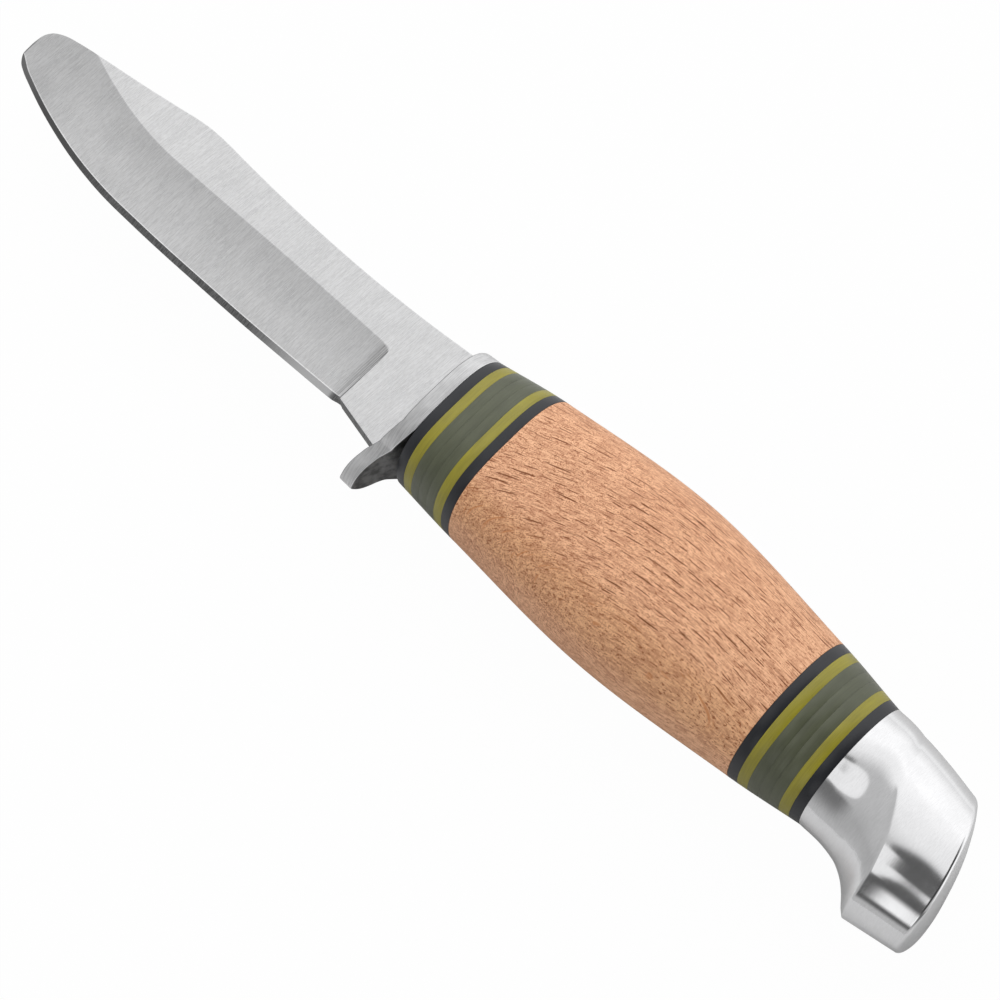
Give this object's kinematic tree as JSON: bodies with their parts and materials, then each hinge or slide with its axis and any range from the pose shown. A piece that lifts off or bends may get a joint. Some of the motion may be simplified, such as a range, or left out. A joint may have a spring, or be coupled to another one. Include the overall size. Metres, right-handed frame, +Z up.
{
  "type": "fixed-blade knife",
  "caption": "Small fixed-blade scout knife with a blunt-tipped single-edged blade, a guard with one quillon, a barrel-shaped wood grip between banded spacers and a hooked metal pommel.",
  "frame": {"origin": "centre of the underside of the knife's box, on the table it lies on", "axes": "+X along the knife from blade tip to pommel, +Y from cutting edge to spine, +Z up, out of the blade's left face"},
  "size_m": [0.1742, 0.029, 0.0199],
  "materials": {
    "satin_steel": "satin, fine lines across the blade",
    "brushed_aluminium": "brushed",
    "polished_aluminium": "polished",
    "beech": "sanded, matt",
    "black_fibre": "sanded",
    "yellow_fibre": "sanded",
    "green_fibre": "sanded"
  },
  "bodies": {
    "root": {"blade": "satin_steel", "guard": "brushed_aluminium", "spacer_front_1_black": "black_fibre", "spacer_front_2_yellow": "yellow_fibre", "spacer_front_3_green": "green_fibre", "spacer_front_4_green": "green_fibre", "spacer_front_5_green": "green_fibre", "spacer_front_6_yellow": "yellow_fibre", "spacer_front_7_black": "black_fibre", "grip": "beech", "spacer_rear_1_black": "black_fibre", "spacer_rear_2_yellow": "yellow_fibre", "spacer_rear_3_green": "green_fibre", "spacer_rear_4_green": "green_fibre", "spacer_rear_5_green": "green_fibre", "spacer_rear_6_yellow": "yellow_fibre", "spacer_rear_7_black": "black_fibre", "pommel": "polished_aluminium"}
  },
  "joints": []
}
